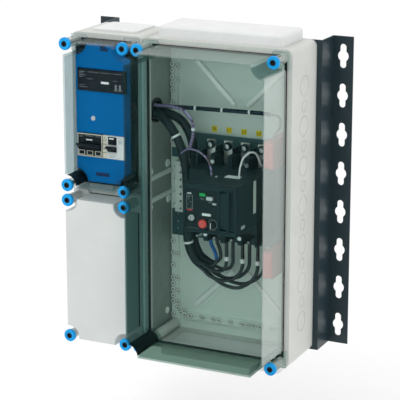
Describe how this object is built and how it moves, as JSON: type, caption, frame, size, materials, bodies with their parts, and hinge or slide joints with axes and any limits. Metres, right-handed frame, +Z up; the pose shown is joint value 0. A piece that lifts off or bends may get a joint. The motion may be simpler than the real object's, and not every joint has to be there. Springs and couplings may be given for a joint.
{
  "type": "motor protection breaker enclosure",
  "caption": "Wall-mounted insulated switchgear with a motor-operated four-pole breaker behind a deep smoked lid, a relay and modular switches behind a clear lid, on keyhole rails.",
  "frame": {"origin": "middle of the assembly on the wall plane", "axes": "+Z up, the front faces -Y, the wall is the plane Y = 0"},
  "size_m": [0.532, 0.272, 0.644],
  "materials": {
    "grey_plastic": "fine matt moulded",
    "smoked_lid": "smoked transparent polycarbonate",
    "clear_lid": "clear polycarbonate",
    "opaque_lid": "fine matt moulded",
    "blue_fastener": "glossy moulded",
    "gasket_foam": "foamed seal",
    "rail_steel": "glossy dark slate powder coat",
    "zinc_steel": "zinc plated",
    "flange_plastic": "satin moulded",
    "black_rubber": "soft",
    "slate_plate": "satin",
    "pale_strip": "matt",
    "breaker_black": "fine textured",
    "copper_tinned": "tinned copper bar",
    "panel_dark": "smooth",
    "arc_steel": "plain",
    "stop_red": "glossy",
    "button_grey": "smooth",
    "cover_blue": "satin sheet",
    "device_black": "matt",
    "device_white": "matt",
    "terminal_red": "matt",
    "label_yellow": "printed blank",
    "cable_black": "smooth sheath",
    "wire_violet": "smooth insulation",
    "tie_white": "nylon"
  },
  "bodies": {
    "enclosure": {"main_base": "grey_plastic", "upper_left_base": "grey_plastic", "lower_left_base": "grey_plastic", "lid_gaskets": "gasket_foam", "right_rail": "rail_steel", "left_rail": "rail_steel", "rail_bolts": "zinc_steel", "main_flanges": "flange_plastic", "side_flanges": "flange_plastic", "cable_bush": "black_rubber", "mounting_plate": "slate_plate", "mounting_screws": "zinc_steel", "support_strip": "pale_strip", "breaker_base": "breaker_black", "breaker_cover": "breaker_black", "upper_lugs": "copper_tinned", "lower_clamps": "copper_tinned", "terminal_screws": "zinc_steel", "phase_barriers": "breaker_black", "arc_chutes": "arc_steel", "operator_case": "breaker_black", "control_panel": "panel_dark", "charging_motor": "zinc_steel", "device_cover": "cover_blue", "cover_screw": "button_grey", "din_rails": "zinc_steel", "protection_relay": "device_black", "three_pole_breaker": "device_black", "auxiliary_switch": "device_white", "residual_switch": "device_white", "terminal_blocks": "terminal_red", "phase_labels": "label_yellow", "supply_cables": "cable_black", "breaker_conductors": "cable_black", "control_loom": "cable_black", "signal_wires": "wire_violet", "cable_ties": "tie_white"},
    "main_lid": {"main_lid": "smoked_lid"},
    "main_fastener_top_left": {"main_fastener_top_left": "blue_fastener"},
    "main_fastener_top_right": {"main_fastener_top_right": "blue_fastener"},
    "main_fastener_bottom_left": {"main_fastener_bottom_left": "blue_fastener"},
    "main_fastener_bottom_right": {"main_fastener_bottom_right": "blue_fastener"},
    "upper_left_lid": {"upper_left_lid": "clear_lid"},
    "upper_left_fastener_top_left": {"upper_left_fastener_top_left": "blue_fastener"},
    "upper_left_fastener_top_right": {"upper_left_fastener_top_right": "blue_fastener"},
    "upper_left_fastener_bottom_left": {"upper_left_fastener_bottom_left": "blue_fastener"},
    "upper_left_fastener_bottom_right": {"upper_left_fastener_bottom_right": "blue_fastener"},
    "lower_left_lid": {"lower_left_lid": "opaque_lid"},
    "lower_left_fastener_top_left": {"lower_left_fastener_top_left": "blue_fastener"},
    "lower_left_fastener_top_right": {"lower_left_fastener_top_right": "blue_fastener"},
    "lower_left_fastener_bottom_left": {"lower_left_fastener_bottom_left": "blue_fastener"},
    "lower_left_fastener_bottom_right": {"lower_left_fastener_bottom_right": "blue_fastener"},
    "stop_button": {"stop_button": "stop_red"},
    "start_button": {"start_button": "button_grey"},
    "mode_selector": {"mode_selector": "device_black"},
    "lock_knob": {"lock_knob": "button_grey"},
    "charging_lever": {"charging_lever": "breaker_black"},
    "contact_rotor": {"contact_rotor": "breaker_black"},
    "three_pole_toggle": {"three_pole_toggle": "device_black"},
    "residual_toggle": {"residual_toggle": "device_black"}
  },
  "joints": [
    {"name": "main_lid_lift", "type": "slide", "parent": "enclosure", "child": "main_lid", "axis": [0, -1, 0], "range_m": [0, 0.25]},
    {"name": "main_top_left_turn", "type": "hinge", "parent": "main_lid", "child": "main_fastener_top_left", "pos_m": [-0.0605, -0.222, 0.2855], "axis": [0, 1, 0], "range_deg": [0, 90]},
    {"name": "main_top_right_turn", "type": "hinge", "parent": "main_lid", "child": "main_fastener_top_right", "pos_m": [0.2105, -0.222, 0.2855], "axis": [0, 1, 0], "range_deg": [0, 90]},
    {"name": "main_bottom_left_turn", "type": "hinge", "parent": "main_lid", "child": "main_fastener_bottom_left", "pos_m": [-0.0605, -0.222, -0.2855], "axis": [0, 1, 0], "range_deg": [0, 90]},
    {"name": "main_bottom_right_turn", "type": "hinge", "parent": "main_lid", "child": "main_fastener_bottom_right", "pos_m": [0.2105, -0.222, -0.2855], "axis": [0, 1, 0], "range_deg": [0, 90]},
    {"name": "upper_left_lid_lift", "type": "slide", "parent": "enclosure", "child": "upper_left_lid", "axis": [0, -1, 0], "range_m": [0, 0.2]},
    {"name": "upper_left_top_left_turn", "type": "hinge", "parent": "upper_left_lid", "child": "upper_left_fastener_top_left", "pos_m": [-0.2105, -0.222, 0.2855], "axis": [0, 1, 0], "range_deg": [0, 90]},
    {"name": "upper_left_top_right_turn", "type": "hinge", "parent": "upper_left_lid", "child": "upper_left_fastener_top_right", "pos_m": [-0.0897, -0.222, 0.2855], "axis": [0, 1, 0], "range_deg": [0, 90]},
    {"name": "upper_left_bottom_left_turn", "type": "hinge", "parent": "upper_left_lid", "child": "upper_left_fastener_bottom_left", "pos_m": [-0.2105, -0.222, 0.0147], "axis": [0, 1, 0], "range_deg": [0, 90]},
    {"name": "upper_left_bottom_right_turn", "type": "hinge", "parent": "upper_left_lid", "child": "upper_left_fastener_bottom_right", "pos_m": [-0.0897, -0.222, 0.0147], "axis": [0, 1, 0], "range_deg": [0, 90]},
    {"name": "lower_left_lid_lift", "type": "slide", "parent": "enclosure", "child": "lower_left_lid", "axis": [0, -1, 0], "range_m": [0, 0.2]},
    {"name": "lower_left_top_left_turn", "type": "hinge", "parent": "lower_left_lid", "child": "lower_left_fastener_top_left", "pos_m": [-0.2105, -0.222, -0.0147], "axis": [0, 1, 0], "range_deg": [0, 90]},
    {"name": "lower_left_top_right_turn", "type": "hinge", "parent": "lower_left_lid", "child": "lower_left_fastener_top_right", "pos_m": [-0.0897, -0.222, -0.0147], "axis": [0, 1, 0], "range_deg": [0, 90]},
    {"name": "lower_left_bottom_left_turn", "type": "hinge", "parent": "lower_left_lid", "child": "lower_left_fastener_bottom_left", "pos_m": [-0.2105, -0.222, -0.2855], "axis": [0, 1, 0], "range_deg": [0, 90]},
    {"name": "lower_left_bottom_right_turn", "type": "hinge", "parent": "lower_left_lid", "child": "lower_left_fastener_bottom_right", "pos_m": [-0.0897, -0.222, -0.2855], "axis": [0, 1, 0], "range_deg": [0, 90]},
    {"name": "stop_push", "type": "slide", "parent": "enclosure", "child": "stop_button", "axis": [0, 1, 0], "range_m": [0, 0.003], "stiffness_N_per_m": 800},
    {"name": "start_push", "type": "slide", "parent": "enclosure", "child": "start_button", "axis": [0, 1, 0], "range_m": [0, 0.003], "stiffness_N_per_m": 800},
    {"name": "mode_turn", "type": "hinge", "parent": "enclosure", "child": "mode_selector", "pos_m": [0.104, -0.2475, -0.0175], "axis": [0, 1, 0], "range_deg": [0, 90]},
    {"name": "lock_turn", "type": "hinge", "parent": "enclosure", "child": "lock_knob", "pos_m": [0.0638, -0.2475, -0.008], "axis": [0, 1, 0], "range_deg": [0, 90]},
    {"name": "charging_stroke", "type": "hinge", "parent": "enclosure", "child": "charging_lever", "pos_m": [0.125, -0.243, -0.02], "axis": [1, 0, 0], "range_deg": [0, 14]},
    {"name": "contact_swing", "type": "hinge", "parent": "enclosure", "child": "contact_rotor", "pos_m": [0.082, -0.118, 0], "axis": [1, 0, 0], "range_deg": [0, 45]},
    {"name": "three_pole_switch", "type": "hinge", "parent": "enclosure", "child": "three_pole_toggle", "pos_m": [-0.178, -0.191, 0.0845], "axis": [1, 0, 0], "range_deg": [0, 70]},
    {"name": "residual_switch_over", "type": "hinge", "parent": "enclosure", "child": "residual_toggle", "pos_m": [-0.123, -0.191, 0.0845], "axis": [1, 0, 0], "range_deg": [0, 70]}
  ]
}
